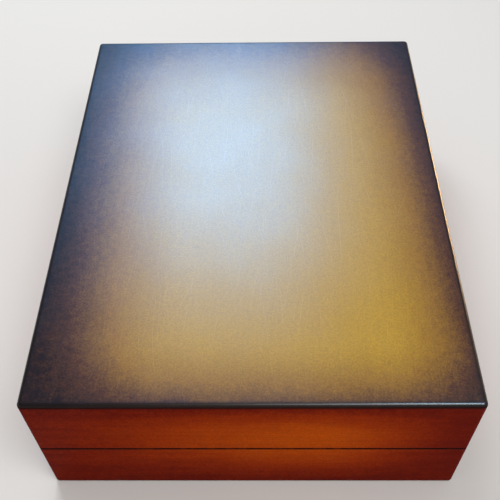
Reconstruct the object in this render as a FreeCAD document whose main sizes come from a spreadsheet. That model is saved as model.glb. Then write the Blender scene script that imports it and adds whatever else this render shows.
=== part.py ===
# A lidded wooden money box: a mitred case on brass butt hinges, with a lift-out coin tray.
# Millimetres, +Z up. The origin is the middle of the footprint, the front faces -Y, the hinges are at +Y.
import FreeCAD, Part
import math
import os

import Sketcher

SIZES = {
    # The case from outside
    "box_width": 220.0,
    "box_depth": 288.0,
    "box_height": 88.0,
    "seam_height": 42.5,
    "wall": 12.0,
    "corner_radius": 2.5,
    "top_edge_radius": 2.0,
    "rim_chamfer": 0.5,
    "foot_chamfer": 0.4,
    # Panels and linings
    "top_thickness": 7.0,
    "top_step": 2.0,
    "bottom_thickness": 5.0,
    "bottom_rebate": 5.0,
    "felt_thickness": 1.0,
    "felt_inset": 3.0,
    "floor_lining": 1.5,
    "lid_pad": 3.0,
    "lid_pad_gap": 0.5,
    "lid_pad_radius": 1.2,
    # The lip that locates the lid
    "lip_thickness": 3.0,
    "lip_height": 4.0,
    "lip_gap": 0.5,
    "lip_radius": 0.9,
    # Hinges
    "hinge_length": 38.0,
    "hinge_from_side": 42.0,
    "hinge_inset": 4.0,
    "hinge_ease": 0.15,
    "lid_opening": 95.0,
    "leaf_thickness": 1.2,
    "leaf_sink": 0.1,
    "leaf_land": 0.6,
    "seat_gap": 0.15,
    "knuckle_radius": 2.2,
    "knuckle_gap": 0.25,
    "knuckle_end_gap": 0.1,
    "pin_radius": 1.0,
    "pin_gap": 0.05,
    "screw_radius": 0.85,
    "screw_head_radius": 1.65,
    "screw_length": 8.0,
    "screw_gap": 0.05,
    "screw_pitch": 24.0,
    # The coin tray and the space for notes under it
    "note_space": 11.0,
    "rest_width": 5.0,
    "tray_gap": 0.75,
    "tray_height": 20.0,
    "tray_wall": 4.0,
    "tray_floor": 3.0,
    "tray_rebate": 2.0,
    "tray_lining": 0.8,
    "tray_edge_radius": 1.0,
    "divider_thickness": 3.0,
    "divider_height": 14.0,
    "divider_chamfer": 0.7,
    "groove_depth": 1.5,
    "groove_gap": 0.1,
    "handle_rise": 9.0,
    "handle_length": 92.0,
    "handle_bar": 5.0,
    "handle_slot_length": 52.0,
    "handle_slot_height": 13.0,
}
SIDES = ("front", "right", "back", "left")
KNUCKLES = 3
SCREWS_PER_LEAF = 2
COIN_COLUMNS = 3

document = FreeCAD.newDocument("money_box")
sheet = document.addObject("Spreadsheet::Sheet", "Sizes")
for row, (alias, number) in enumerate(SIZES.items(), start=1):
    sheet.set(f"A{row}", alias)
    sheet.set(f"B{row}", str(number))
    sheet.setAlias(f"B{row}", alias)
document.recompute()


class Size:
    """A number together with the sheet formula that gives it."""

    def __init__(self, number, formula):
        self.number = number
        self.formula = formula

    def __add__(self, other):
        return Size(self.number + other.number, f"({self.formula} + {other.formula})")

    def __sub__(self, other):
        return Size(self.number - other.number, f"({self.formula} - {other.formula})")

    def __mul__(self, factor):
        return Size(self.number * factor, f"({self.formula} * {factor})")

    def __truediv__(self, divisor):
        return Size(self.number / divisor, f"({self.formula} / {divisor})")

    def __neg__(self):
        return self * -1


def size(alias):
    """The sheet's value of that name."""
    return Size(float(sheet.get(alias)), f"Sizes.{alias}")


def times_tangent(length, angle):
    """The length times the tangent of an angle in degrees."""
    number = length.number * math.tan(math.radians(angle.number))
    return Size(number, f"({length.formula} * tan({angle.formula} * 1deg))")


ZERO = Size(0.0, "0")

# Places that several pieces share
base_bottom = size("felt_thickness")
rim = size("seam_height")
inner_width = size("box_width") - size("wall") * 2
inner_depth = size("box_depth") - size("wall") * 2
panel_top = base_bottom + size("bottom_thickness")
lined_width = inner_width - size("lip_thickness") * 2
lined_depth = inner_depth - size("lip_thickness") * 2
floor_top = panel_top + size("floor_lining")
top_bottom = size("box_height") - size("top_thickness")
hinge_axis = size("box_depth") / 2 - size("hinge_inset")
leaf_width = size("wall") - size("hinge_inset") - size("leaf_land")
screw_offset = (size("knuckle_radius") + size("knuckle_gap") + leaf_width) / 2
screw_hole = size("screw_radius") + size("screw_gap")
tray_width = lined_width - size("tray_gap") * 2
tray_depth = lined_depth - size("tray_gap") * 2
tray_bottom = floor_top + size("note_space")
tray_inner_width = tray_width - size("tray_wall") * 2
tray_inner_depth = tray_depth - size("tray_wall") * 2
divider_bottom = size("tray_floor") + size("tray_lining")
coin_depth = (tray_inner_depth - size("divider_thickness")) / 2
coin_width = (tray_inner_width - size("divider_thickness") * (COIN_COLUMNS - 1)) / COIN_COLUMNS

pieces = []


def add_piece(piece):
    """Count an object of the document as one of the box's pieces."""
    pieces.append(piece)
    return piece


def bind(item, **properties):
    """Tie properties of an object to sheet formulas."""
    for name, value in properties.items():
        item.setExpression(name, value.formula)


def place(item, x, y, z, rotation=FreeCAD.Rotation()):
    """Put an object at a place that follows the sheet."""
    item.Placement = FreeCAD.Placement(FreeCAD.Vector(x.number, y.number, z.number), rotation)
    item.setExpression("Placement.Base.x", x.formula)
    item.setExpression("Placement.Base.y", y.formula)
    item.setExpression("Placement.Base.z", z.formula)


def turn_about(x, y, z, angle):
    """A rotation about a direction, in degrees."""
    return FreeCAD.Rotation(FreeCAD.Vector(x, y, z), angle)


def new_sketch(body, name, role, offset=ZERO):
    """A sketch on one of the body's own origin planes, moved along the plane's normal."""
    sketch = body.newObject("Sketcher::SketchObject", f"{body.Name}_{name}")
    plane = next(item for item in body.Origin.OriginFeatures if item.Role == role)
    sketch.AttachmentSupport = [(plane, "")]
    sketch.MapMode = "FlatFace"
    sketch.AttachmentOffset = FreeCAD.Placement(FreeCAD.Vector(0, 0, offset.number), FreeCAD.Rotation())
    sketch.setExpression("AttachmentOffset.Base.z", offset.formula)
    return sketch


def fix_point(sketch, geometry, end, x, y):
    """Tie one end of a sketch line to coordinates that follow the sheet."""
    for value, kind, axis in ((x, "DistanceX", -2), (y, "DistanceY", -1)):
        if value is ZERO:
            sketch.addConstraint(Sketcher.Constraint("PointOnObject", geometry, end, axis))
        else:
            index = sketch.addConstraint(Sketcher.Constraint(kind, -1, 1, geometry, end, value.number))
            sketch.setExpression(f"Constraints[{index}]", value.formula)


def fix_radius(sketch, geometry, radius):
    """Tie the radius of a sketch arc or circle to the sheet."""
    index = sketch.addConstraint(Sketcher.Constraint("Radius", geometry, radius.number))
    sketch.setExpression(f"Constraints[{index}]", radius.formula)


def sketch_vector(point):
    """The sketch position of a pair of sizes."""
    return FreeCAD.Vector(point[0].number, point[1].number, 0)


def arc_between(start, end, centre):
    """The arc that runs counter-clockwise from start to end."""
    middle = sketch_vector(centre)
    first_spoke = sketch_vector(start) - middle
    last_spoke = sketch_vector(end) - middle
    circle = Part.Circle(middle, FreeCAD.Vector(0, 0, 1), first_spoke.Length)
    first_angle = math.atan2(first_spoke.y, first_spoke.x)
    return Part.ArcOfCircle(circle, first_angle, math.atan2(last_spoke.y, last_spoke.x))


def fix_centre(sketch, geometry, start, end, centre):
    """Tie the centre of an arc, whose ends are already tied, to the sheet."""
    chord = sketch_vector(end) - sketch_vector(start)
    upright = abs(chord.y) >= abs(chord.x)
    kind, value = ("DistanceX", centre[0]) if upright else ("DistanceY", centre[1])
    index = sketch.addConstraint(Sketcher.Constraint(kind, -1, 1, geometry, 3, value.number))
    sketch.setExpression(f"Constraints[{index}]", value.formula)


def draw_outline(sketch, corners, arcs=None):
    """A closed outline. arcs maps the corner that an arc leaves to its centre and whether it turns left."""
    arcs = arcs or {}
    following = corners[1:] + corners[:1]
    sides = []
    for index, (corner, next_corner) in enumerate(zip(corners, following)):
        if index not in arcs:
            line = Part.LineSegment(sketch_vector(corner), sketch_vector(next_corner))
            sides.append((sketch.addGeometry(line), 1, 2))
        elif arcs[index][1]:
            arc = arc_between(corner, next_corner, arcs[index][0])
            sides.append((sketch.addGeometry(arc), 1, 2))
        else:
            arc = arc_between(next_corner, corner, arcs[index][0])
            sides.append((sketch.addGeometry(arc), 2, 1))
    for (geometry, _, end), (next_geometry, next_start, _) in zip(sides, sides[1:] + sides[:1]):
        sketch.addConstraint(Sketcher.Constraint("Coincident", geometry, end, next_geometry, next_start))
    for (geometry, start, _), corner in zip(sides, corners):
        fix_point(sketch, geometry, start, *corner)
    for index, (centre, _) in arcs.items():
        fix_centre(sketch, sides[index][0], corners[index], following[index], centre)


def draw_circle(sketch, x, y, radius):
    """A circle about a point."""
    circle = Part.Circle(sketch_vector((x, y)), FreeCAD.Vector(0, 0, 1), radius.number)
    geometry = sketch.addGeometry(circle)
    fix_point(sketch, geometry, 3, x, y)
    fix_radius(sketch, geometry, radius)


def draw_rectangle(sketch, left, low, right, high):
    """A rectangle between two corners."""
    draw_outline(sketch, [(left, low), (right, low), (right, high), (left, high)])


def draw_rounded_rectangle(sketch, width, depth, radius):
    """A rectangle with rounded corners, centred on the sketch's origin."""
    x = width / 2
    y = depth / 2
    corners = [
        (radius - x, -y),
        (x - radius, -y),
        (x, radius - y),
        (x, y - radius),
        (x - radius, y),
        (radius - x, y),
        (-x, y - radius),
        (-x, radius - y),
    ]
    arcs = {
        1: ((x - radius, radius - y), True),
        3: ((x - radius, y - radius), True),
        5: ((radius - x, y - radius), True),
        7: ((radius - x, radius - y), True),
    }
    draw_outline(sketch, corners, arcs)


def add_feature(body, kind, name, sketch):
    """A PartDesign feature of the body that works on a sketch."""
    feature = body.newObject(f"PartDesign::{kind}", f"{body.Name}_{name}")
    feature.Profile = sketch
    return feature


def pad(body, name, sketch, length, symmetric=False, downwards=False):
    """Raise a sketch into a solid."""
    feature = add_feature(body, "Pad", name, sketch)
    bind(feature, Length=length)
    feature.Reversed = downwards
    if symmetric:
        feature.SideType = "Symmetric"
    document.recompute()


def pocket(body, name, sketch, depth=None, along_normal=False):
    """Cut a sketch into the body, to a depth against or along its normal, or right through."""
    uncut = body.Shape.Volume
    feature = add_feature(body, "Pocket", name, sketch)
    if depth is None:
        feature.Type = "ThroughAll"
        feature.SideType = "Symmetric"
    else:
        bind(feature, Length=depth)
        feature.Reversed = along_normal
    document.recompute()
    if not body.Shape.Volume < uncut:
        raise RuntimeError(f"{feature.Name} cuts nothing")


def revolve(body, name, sketch, axis):
    """Turn a sketch about one of its own axes."""
    feature = add_feature(body, "Revolution", name, sketch)
    feature.ReferenceAxis = (sketch, [axis])
    feature.Angle = 360
    document.recompute()


def pick_edges(body, is_picked):
    """The body's last feature, with the names of the edges whose end points pass a test."""
    names = []
    for index, edge in enumerate(body.Tip.Shape.Edges, start=1):
        if is_picked([vertex.Point for vertex in edge.Vertexes]):
            names.append(f"Edge{index}")
    return body.Tip, names


def round_edges(body, name, radius, is_picked):
    """Round the edges of the body that pass a test."""
    edges = pick_edges(body, is_picked)
    feature = body.newObject("PartDesign::Fillet", f"{body.Name}_{name}")
    feature.Base = edges
    bind(feature, Radius=radius)
    document.recompute()


def chamfer_edges(body, name, width, is_picked):
    """Cut a narrow slope along the edges of the body that pass a test."""
    edges = pick_edges(body, is_picked)
    feature = body.newObject("PartDesign::Chamfer", f"{body.Name}_{name}")
    feature.Base = edges
    bind(feature, Size=width)
    document.recompute()


def same(number, target):
    """Whether a coordinate is at a size."""
    return abs(number - target.number) < 1e-6


def long_edges_at(level):
    """A test for the edges that run along a board at a height."""

    def is_long_edge(points):
        on_level = all(same(point.z, level) for point in points)
        return on_level and abs(points[0].y - points[-1].y) < abs(points[0].x - points[-1].x) / 2

    return is_long_edge


def outer_edges_at(level):
    """A test for the edges of a rail's outer face and rounded corners at a height."""
    reach = size("corner_radius").number

    def is_outer_edge(points):
        return all(same(point.z, level) and point.y <= reach for point in points)

    return is_outer_edge


def block(name, width, depth, height, bottom):
    """A plain board or sheet, centred over the origin."""
    board = add_piece(document.addObject("Part::Box", name))
    bind(board, Length=width, Width=depth, Height=height)
    place(board, -width / 2, -depth / 2, bottom)
    return board


def soft_sheet(name, width, depth, height, bottom, radius):
    """A sheet of lining with rounded corners, centred over the origin."""
    body = add_piece(document.addObject("PartDesign::Body", name))
    plan = new_sketch(body, "plan", "XY_Plane")
    draw_rounded_rectangle(plan, width, depth, radius)
    pad(body, "sheet", plan, height)
    place(body, ZERO, ZERO, bottom)
    return body


def mitred_board(name, length, thickness, height, corner_radius=None):
    """A board of a four-sided frame. Its outer face lies along X from 0, its inner face towards +Y."""
    body = add_piece(document.addObject("PartDesign::Body", name))
    plan = new_sketch(body, "plan", "XY_Plane")
    inner_corners = [(length - thickness, thickness), (thickness, thickness)]
    if corner_radius is None:
        draw_outline(plan, [(ZERO, ZERO), (length, ZERO)] + inner_corners)
    else:
        tip = corner_radius * (1 - math.sqrt(0.5))
        far = length - corner_radius
        outer_corners = [(tip, tip), (corner_radius, ZERO), (far, ZERO), (length - tip, tip)]
        arcs = {
            0: ((corner_radius, corner_radius), True),
            2: ((far, corner_radius), True),
        }
        draw_outline(plan, outer_corners + inner_corners, arcs)
    pad(body, "board", plan, height)
    return body


def place_on_side(body, side, width, depth, bottom):
    """Stand a mitred board on its side of a frame of that width and depth."""
    x = -width / 2 if side in ("front", "left") else width / 2
    y = -depth / 2 if side in ("front", "right") else depth / 2
    place(body, x, y, bottom, turn_about(0, 0, 1, 90 * SIDES.index(side)))


def side_length(side, width, depth):
    """The outer length of a frame's board."""
    return width if side in ("front", "back") else depth


def hinge_places(middle):
    """The middles of the two hinges along a line, with the words that tell them apart."""
    half = size("box_width") / 2 - size("hinge_from_side")
    return (("left", middle - half), ("right", middle + half))


def screw_places(middle):
    """The screws of one hinge leaf along the hinge."""
    first = -(SCREWS_PER_LEAF - 1) / 2
    return [middle + size("screw_pitch") * (first + index) for index in range(SCREWS_PER_LEAF)]


def cut_hinge_bevel(rail, side, length, rim_level, into_wood):
    """Slope the wood behind the hinge axis away from the rim. The two slopes meet when the lid is open."""
    reach = size("hinge_inset") + size("hinge_ease")
    rise = times_tangent(reach, size("lid_opening") / 2) * into_wood
    if side == "back":
        section = new_sketch(rail, "bevel_section", "YZ_Plane")
        outer, apex = ZERO, reach
    else:
        section = new_sketch(rail, "bevel_section", "XZ_Plane")
        outer, apex = (length, length - reach) if side == "right" else (ZERO, reach)
    draw_outline(section, [(apex, rim_level), (outer, rim_level), (outer, rim_level + rise)])
    pocket(rail, "bevel", section)


def cut_hinge_seats(rail, length, rim_level, is_lid):
    """Let the hinges into the rim: a mortise for the leaf, a trough for the barrel and screw holes."""
    leaf_edge = size("hinge_inset") + leaf_width + size("seat_gap")
    half = size("hinge_length") / 2 + size("seat_gap")
    for word, middle in hinge_places(length / 2):
        seat = new_sketch(rail, f"{word}_mortise_plan", "XY_Plane", rim_level)
        draw_rectangle(seat, middle - half, ZERO, middle + half, leaf_edge)
        pocket(rail, f"{word}_mortise", seat, size("leaf_sink") + size("leaf_thickness"), is_lid)
        trough = new_sketch(rail, f"{word}_trough_section", "YZ_Plane", middle + half)
        trough_radius = size("knuckle_radius") + size("knuckle_gap")
        draw_circle(trough, size("hinge_inset"), rim_level, trough_radius)
        pocket(rail, f"{word}_trough", trough, half * 2)
        holes = new_sketch(rail, f"{word}_screw_plan", "XY_Plane", rim_level)
        for x in screw_places(middle):
            draw_circle(holes, x, size("hinge_inset") + screw_offset, screw_hole)
        hole_depth = size("leaf_sink") + size("screw_length") + size("screw_gap")
        pocket(rail, f"{word}_screw_holes", holes, hole_depth, is_lid)


def case_rails(prefix, bottom, height, is_lid):
    """The four rails of the base or of the lid, mitred at the corners."""
    rim_level = ZERO if is_lid else height
    into_wood = 1 if is_lid else -1
    for side in SIDES:
        length = side_length(side, size("box_width"), size("box_depth"))
        rail = mitred_board(f"{prefix}_{side}_rail", length, size("wall"), height, size("corner_radius"))
        chamfer_edges(rail, "rim_edge", size("rim_chamfer"), outer_edges_at(rim_level))
        if not is_lid:
            chamfer_edges(rail, "foot_edge", size("foot_chamfer"), outer_edges_at(ZERO))
            section = new_sketch(rail, "rebate_section", "YZ_Plane")
            rebate_face = size("wall") - size("bottom_rebate")
            draw_rectangle(section, rebate_face, ZERO, size("wall"), size("bottom_thickness"))
            pocket(rail, "rebate", section)
        if side != "front":
            cut_hinge_bevel(rail, side, length, rim_level, into_wood)
        if side == "back":
            cut_hinge_seats(rail, length, rim_level, is_lid)
        place_on_side(rail, side, size("box_width"), size("box_depth"), bottom)


def lid_top_panel():
    """The top of the lid. A step under it drops inside the rails, and its upper edge is rounded."""
    panel = add_piece(document.addObject("PartDesign::Body", "lid_top_panel"))
    step_plan = new_sketch(panel, "step_plan", "XY_Plane")
    draw_rectangle(step_plan, -inner_width / 2, -inner_depth / 2, inner_width / 2, inner_depth / 2)
    pad(panel, "step", step_plan, size("top_step"), downwards=True)
    plan = new_sketch(panel, "plan", "XY_Plane")
    draw_rounded_rectangle(plan, size("box_width"), size("box_depth"), size("corner_radius"))
    pad(panel, "board", plan, size("top_thickness"))
    top = size("top_thickness")
    round_edges(panel, "edge", size("top_edge_radius"), lambda ends: all(same(end.z, top) for end in ends))
    place(panel, ZERO, ZERO, top_bottom)


def lip_strips():
    """Strips inside the base that stand above the rim, set back there so that the lid clears them."""
    height = rim + size("lip_height") - panel_top
    rim_level = rim - panel_top
    for side in SIDES:
        length = side_length(side, inner_width, inner_depth)
        strip = mitred_board(f"lip_{side}", length, size("lip_thickness"), height)
        section = new_sketch(strip, "step_section", "YZ_Plane")
        draw_rectangle(section, ZERO, rim_level, size("lip_gap"), height)
        pocket(strip, "step", section)
        round_edges(strip, "edge", size("lip_radius"), long_edges_at(height))
        place_on_side(strip, side, inner_width, inner_depth, panel_top)


def tray_rests():
    """Two strips along the sides that carry the tray above the floor."""
    for word, x in (("left", -lined_width / 2), ("right", lined_width / 2 - size("rest_width"))):
        rest = add_piece(document.addObject("Part::Box", f"tray_rest_{word}"))
        bind(rest, Length=size("rest_width"), Width=lined_depth, Height=size("note_space"))
        place(rest, x, -lined_depth / 2, floor_top)


def hinge_leaf(name, middle, is_lid):
    """One leaf: a plate rolled round the pin, slotted for the other leaf's knuckles."""
    side = 1 if is_lid else -1
    near = size("leaf_sink") * side
    far = near + size("leaf_thickness") * side
    half = size("hinge_length") / 2
    leaf = add_piece(document.addObject("PartDesign::Body", name))
    plate = new_sketch(leaf, "plate_section", "YZ_Plane")
    draw_rectangle(plate, -leaf_width, near, ZERO, far)
    pad(leaf, "plate", plate, size("hinge_length"), symmetric=True)
    barrel = new_sketch(leaf, "barrel_section", "YZ_Plane")
    draw_circle(barrel, ZERO, ZERO, size("knuckle_radius"))
    pad(leaf, "barrel", barrel, size("hinge_length"), symmetric=True)
    slots = new_sketch(leaf, "slot_plan", "XY_Plane")
    slot_reach = size("knuckle_radius") + size("knuckle_gap")
    for index in range(0 if is_lid else 1, KNUCKLES, 2):
        start = size("hinge_length") / KNUCKLES * index - half - size("knuckle_end_gap")
        end = size("hinge_length") / KNUCKLES * (index + 1) - half + size("knuckle_end_gap")
        draw_rectangle(slots, start, -slot_reach, end, slot_reach)
    pocket(leaf, "slots", slots)
    bore = new_sketch(leaf, "bore_section", "YZ_Plane")
    draw_circle(bore, ZERO, ZERO, size("pin_radius") + size("pin_gap"))
    pocket(leaf, "bore", bore)
    holes = new_sketch(leaf, "screw_plan", "XY_Plane", near)
    for x in screw_places(ZERO):
        draw_circle(holes, x, -screw_offset, screw_hole)
    countersink(leaf, holes, is_lid)
    place(leaf, middle, hinge_axis, rim)


def countersink(leaf, centres, is_lid):
    """Countersunk screw holes through a leaf."""
    uncut = leaf.Shape.Volume
    document.recompute()
    hole = add_feature(leaf, "Hole", "screw_holes", centres)
    hole.Threaded = False
    hole.DepthType = "ThroughAll"
    hole.HoleCutType = "Countersink"
    hole.HoleCutCustomValues = True
    hole.HoleCutCountersinkAngle = 90
    hole.Reversed = is_lid
    bind(hole, Diameter=screw_hole * 2)
    bind(hole, HoleCutDiameter=(size("screw_head_radius") + size("screw_gap")) * 2)
    document.recompute()
    if not leaf.Shape.Volume < uncut:
        raise RuntimeError(f"{hole.Name} cuts nothing")


def hinge_pin(name, middle):
    """The hinge's pin, flush with the ends of the barrel."""
    pin = add_piece(document.addObject("PartDesign::Body", name))
    section = new_sketch(pin, "section", "YZ_Plane")
    draw_circle(section, ZERO, ZERO, size("pin_radius"))
    pad(pin, "rod", section, size("hinge_length"), symmetric=True)
    place(pin, middle, hinge_axis, rim)


def hinge_screws(name, is_lid):
    """The countersunk screws of both leaves on one side of the seam."""
    screws = []
    level = rim + size("leaf_sink") * (1 if is_lid else -1)
    head_height = size("screw_head_radius") - size("screw_radius")
    for word, middle in hinge_places(ZERO):
        for x in screw_places(middle):
            screw = document.addObject("PartDesign::Body", f"{name}_{word}_{len(screws)}")
            profile = new_sketch(screw, "profile", "XZ_Plane")
            corners = [
                (ZERO, ZERO),
                (ZERO, -size("screw_length")),
                (size("screw_radius"), -size("screw_length")),
                (size("screw_radius"), -head_height),
                (size("screw_head_radius"), ZERO),
            ]
            draw_outline(profile, corners)
            revolve(screw, "turning", profile, "V_Axis")
            place(screw, x, hinge_axis - screw_offset, level, turn_about(1, 0, 0, 180 if is_lid else 0))
            screws.append(screw)
    group = add_piece(document.addObject("Part::Compound", name))
    group.Links = screws


def tray_groove_places(side):
    """Where dividers are housed along a tray wall, as seen from the wall's own start."""
    if side == "front":
        pitch = coin_width + size("divider_thickness")
        first = size("tray_wall") + coin_width + size("divider_thickness") / 2
        return [first + pitch * column for column in range(COIN_COLUMNS - 1)]
    handle = tray_depth / 2
    cross = size("tray_wall") + coin_depth / 2
    if side == "left":
        cross = tray_depth - cross
    return [] if side == "back" else [handle, cross]


def tray_walls():
    """The tray's walls, mitred, rebated for the floor and grooved for the dividers."""
    for side in SIDES:
        length = side_length(side, tray_width, tray_depth)
        wall = mitred_board(f"tray_{side}_wall", length, size("tray_wall"), size("tray_height"))
        round_edges(wall, "edge", size("tray_edge_radius"), long_edges_at(size("tray_height")))
        section = new_sketch(wall, "rebate_section", "YZ_Plane")
        rebate_face = size("tray_wall") - size("tray_rebate")
        draw_rectangle(section, rebate_face, ZERO, size("tray_wall"), size("tray_floor"))
        pocket(wall, "rebate", section)
        half_groove = size("divider_thickness") / 2 + size("groove_gap")
        groove_face = size("tray_wall") - size("groove_depth") - size("groove_gap")
        if tray_groove_places(side):
            grooves = new_sketch(wall, "groove_plan", "XY_Plane", divider_bottom)
            for x in tray_groove_places(side):
                draw_rectangle(grooves, x - half_groove, groove_face, x + half_groove, size("tray_wall"))
            groove_height = size("divider_height") + size("groove_gap")
            pocket(wall, "grooves", grooves, groove_height, along_normal=True)
        place_on_side(wall, side, tray_width, tray_depth, tray_bottom)


def divider(name, corners, arcs=None):
    """An upright board of the tray from its outline, centred on its thickness, with eased upper edges."""
    body = add_piece(document.addObject("PartDesign::Body", name))
    outline = new_sketch(body, "outline", "XZ_Plane")
    draw_outline(outline, corners, arcs)
    pad(body, "board", outline, size("divider_thickness"), symmetric=True)
    top = size("divider_height").number - 1e-6

    def is_upper_edge(points):
        return all(point.z > top for point in points) and abs(points[0].y - points[-1].y) < 1e-6

    chamfer_edges(body, "edge", size("divider_chamfer"), is_upper_edge)
    return body


def handle_divider():
    """The divider across the middle of the tray, raised into a handle with a finger slot."""
    end = tray_inner_width / 2 + size("groove_depth")
    height = size("divider_height")
    bend = size("handle_rise") / 2
    foot = size("handle_length") / 2
    shoulder = foot - bend
    crest = shoulder - bend
    corners = [
        (-end, ZERO),
        (end, ZERO),
        (end, height),
        (foot, height),
        (shoulder, height + bend),
        (crest, height + bend * 2),
        (-crest, height + bend * 2),
        (-shoulder, height + bend),
        (-foot, height),
        (-end, height),
    ]
    arcs = {
        3: ((foot, height + bend), False),
        4: ((crest, height + bend), True),
        6: ((-crest, height + bend), True),
        7: ((-foot, height + bend), False),
    }
    board = divider("tray_handle_divider", corners, arcs)
    slot = new_sketch(board, "slot_outline", "XZ_Plane")
    slot_top = height + size("handle_rise") - size("handle_bar")
    slot_bottom = slot_top - size("handle_slot_height")
    slot_radius = size("handle_slot_height") / 2
    slot_end = size("handle_slot_length") / 2 - slot_radius
    slot_middle = slot_bottom + slot_radius
    slot_corners = [
        (-slot_end, slot_bottom),
        (slot_end, slot_bottom),
        (slot_end, slot_top),
        (-slot_end, slot_top),
    ]
    slot_arcs = {
        1: ((slot_end, slot_middle), True),
        3: ((-slot_end, slot_middle), True),
    }
    draw_outline(slot, slot_corners, slot_arcs)
    pocket(board, "slot", slot)
    place(board, ZERO, ZERO, tray_bottom + divider_bottom)


def notched_outline(start, end, height, notches, from_top):
    """A board's outline with half-deep notches for the boards that cross it."""
    half_notch = size("divider_thickness") / 2 + size("groove_gap")
    middle = height / 2 - size("groove_gap") if from_top else height / 2 + size("groove_gap")
    open_edge = height if from_top else ZERO
    closed_edge = ZERO if from_top else height
    corners = [(end, closed_edge), (start, closed_edge), (start, open_edge)]
    for x in notches:
        corners += [(x - half_notch, open_edge), (x - half_notch, middle)]
        corners += [(x + half_notch, middle), (x + half_notch, open_edge)]
    corners.append((end, open_edge))
    return corners


def coin_dividers():
    """The cross divider between the two rows of coin cups and the short dividers halved into it."""
    height = size("divider_height")
    level = tray_bottom + divider_bottom
    pitch = coin_width + size("divider_thickness")
    first = pitch * (1 - COIN_COLUMNS / 2)
    columns = [first + pitch * index for index in range(COIN_COLUMNS - 1)]
    row = (coin_depth - tray_inner_depth) / 2
    end = tray_inner_width / 2 + size("groove_depth")
    cross = divider("tray_cross_divider", notched_outline(-end, end, height, columns, True))
    place(cross, ZERO, row, level)
    front = -tray_inner_depth / 2 - size("groove_depth") - row
    back = -size("divider_thickness") / 2 - row
    for word, x in zip(("left", "right"), columns):
        board = divider(f"tray_{word}_divider", notched_outline(front, back, height, [ZERO], False))
        place(board, x, row, level, turn_about(0, 0, 1, 90))


def check_and_write():
    """Write each piece, once the whole document is known to be sound."""
    document.recompute()
    for item in document.Objects:
        if "Invalid" in item.State or "Error" in item.State:
            raise RuntimeError(f"{item.Label} failed: {item.State}")
    for piece in pieces:
        if piece.Shape.isNull() or not piece.Shape.isValid():
            raise RuntimeError(f"{piece.Label} has no sound shape")
    os.makedirs("parts", exist_ok=True)
    for piece in pieces:
        piece.Shape.exportStep(f"parts/{piece.Label}.step")


case_rails("base", base_bottom, rim - base_bottom, is_lid=False)
case_rails("lid", rim, top_bottom - rim, is_lid=True)
lid_top_panel()
lip_strips()
tray_rests()

# Panels, linings and felt
rebates = size("bottom_rebate") * 2
block("bottom_panel", inner_width + rebates, inner_depth + rebates, size("bottom_thickness"), base_bottom)
block("floor_lining", lined_width, lined_depth, size("floor_lining"), panel_top)
felt_width = size("box_width") - size("felt_inset") * 2
felt_depth = size("box_depth") - size("felt_inset") * 2
soft_sheet("bottom_felt", felt_width, felt_depth, size("felt_thickness"), ZERO, size("corner_radius"))
pad_width = inner_width - size("lid_pad_gap") * 2
pad_depth = inner_depth - size("lid_pad_gap") * 2
pad_bottom = top_bottom - size("top_step") - size("lid_pad")
soft_sheet("lid_lining", pad_width, pad_depth, size("lid_pad"), pad_bottom, size("lid_pad_radius"))

# Hinges
for hinge_word, hinge_middle in hinge_places(ZERO):
    hinge_leaf(f"base_hinge_leaf_{hinge_word}", hinge_middle, is_lid=False)
    hinge_leaf(f"lid_hinge_leaf_{hinge_word}", hinge_middle, is_lid=True)
    hinge_pin(f"hinge_pin_{hinge_word}", hinge_middle)
hinge_screws("base_hinge_screws", is_lid=False)
hinge_screws("lid_hinge_screws", is_lid=True)

# The coin tray
tray_walls()
floor_width = tray_inner_width + size("tray_rebate") * 2
floor_depth = tray_inner_depth + size("tray_rebate") * 2
block("tray_floor", floor_width, floor_depth, size("tray_floor"), tray_bottom)
lining_bottom = tray_bottom + size("tray_floor")
block("tray_lining", tray_inner_width, tray_inner_depth, size("tray_lining"), lining_bottom)
handle_divider()
coin_dividers()

check_and_write()
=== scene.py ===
"""Dresses a lidded wooden money box: shaded lacquer, felt linings, an oiled coin tray and brass hinges."""

import logging
import math
from dataclasses import asdict, dataclass
from enum import Enum

import bpy
from mathutils import Matrix, Vector


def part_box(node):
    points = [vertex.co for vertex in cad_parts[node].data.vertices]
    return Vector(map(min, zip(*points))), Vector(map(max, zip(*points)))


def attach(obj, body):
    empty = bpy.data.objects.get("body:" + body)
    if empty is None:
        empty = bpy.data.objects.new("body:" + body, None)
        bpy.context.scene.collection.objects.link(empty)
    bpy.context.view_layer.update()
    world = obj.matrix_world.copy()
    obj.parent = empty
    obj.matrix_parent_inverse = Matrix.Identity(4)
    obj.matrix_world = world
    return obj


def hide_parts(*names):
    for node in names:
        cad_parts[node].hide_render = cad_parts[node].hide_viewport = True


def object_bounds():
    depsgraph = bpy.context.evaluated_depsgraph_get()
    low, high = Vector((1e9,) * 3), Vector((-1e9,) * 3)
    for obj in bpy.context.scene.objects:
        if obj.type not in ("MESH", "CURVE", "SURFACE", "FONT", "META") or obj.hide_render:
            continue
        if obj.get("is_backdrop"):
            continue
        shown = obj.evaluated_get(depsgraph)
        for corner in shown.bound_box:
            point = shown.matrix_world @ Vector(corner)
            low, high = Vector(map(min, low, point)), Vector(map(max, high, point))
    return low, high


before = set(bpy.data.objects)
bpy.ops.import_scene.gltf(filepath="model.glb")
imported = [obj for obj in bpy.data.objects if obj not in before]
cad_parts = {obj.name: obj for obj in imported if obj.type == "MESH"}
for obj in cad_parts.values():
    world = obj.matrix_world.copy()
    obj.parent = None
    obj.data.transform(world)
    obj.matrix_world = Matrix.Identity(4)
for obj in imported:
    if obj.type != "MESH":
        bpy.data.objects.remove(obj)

log = logging.getLogger("money_box")

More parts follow.
